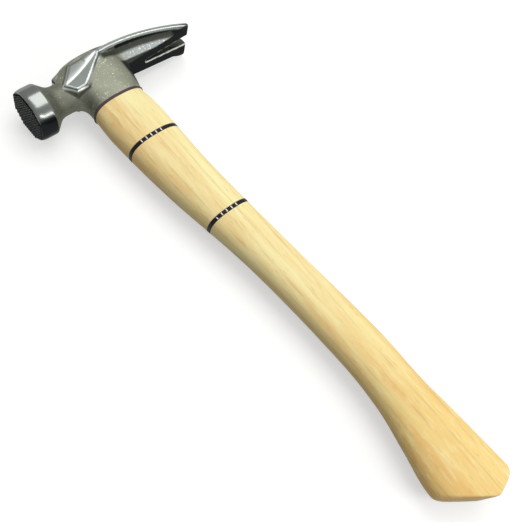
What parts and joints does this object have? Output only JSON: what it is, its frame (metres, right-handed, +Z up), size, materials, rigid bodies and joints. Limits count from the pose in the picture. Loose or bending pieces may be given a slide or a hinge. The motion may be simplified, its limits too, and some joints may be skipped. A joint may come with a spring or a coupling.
{
  "type": "framing hammer",
  "caption": "Framing hammer with a milled striking face, a straight rip claw, a magnetic nail starter and a curved hickory handle wedged into the eye.",
  "frame": {"origin": "centre of the hammer's box, on the plane that it lies on", "axes": "+X along the handle from the butt to the head, +Y towards the striking face, +Z up with the hammer lying on its side"},
  "size_m": [0.404, 0.1378, 0.0376],
  "materials": {
    "forged_steel": "sandblasted, with ground and polished faces",
    "hickory": "clear lacquer",
    "wedge_wood": "sawn",
    "wedge_steel": "plain",
    "magnet": "plated",
    "sealant": "matt",
    "ink": "printed film"
  },
  "bodies": {
    "root": {"head": "forged_steel", "handle": "hickory", "wood_wedge": "wedge_wood", "steel_wedges": "wedge_steel", "nail_magnet": "magnet", "eye_bead": "sealant", "upper_band": "ink", "lower_band": "ink"}
  },
  "joints": []
}
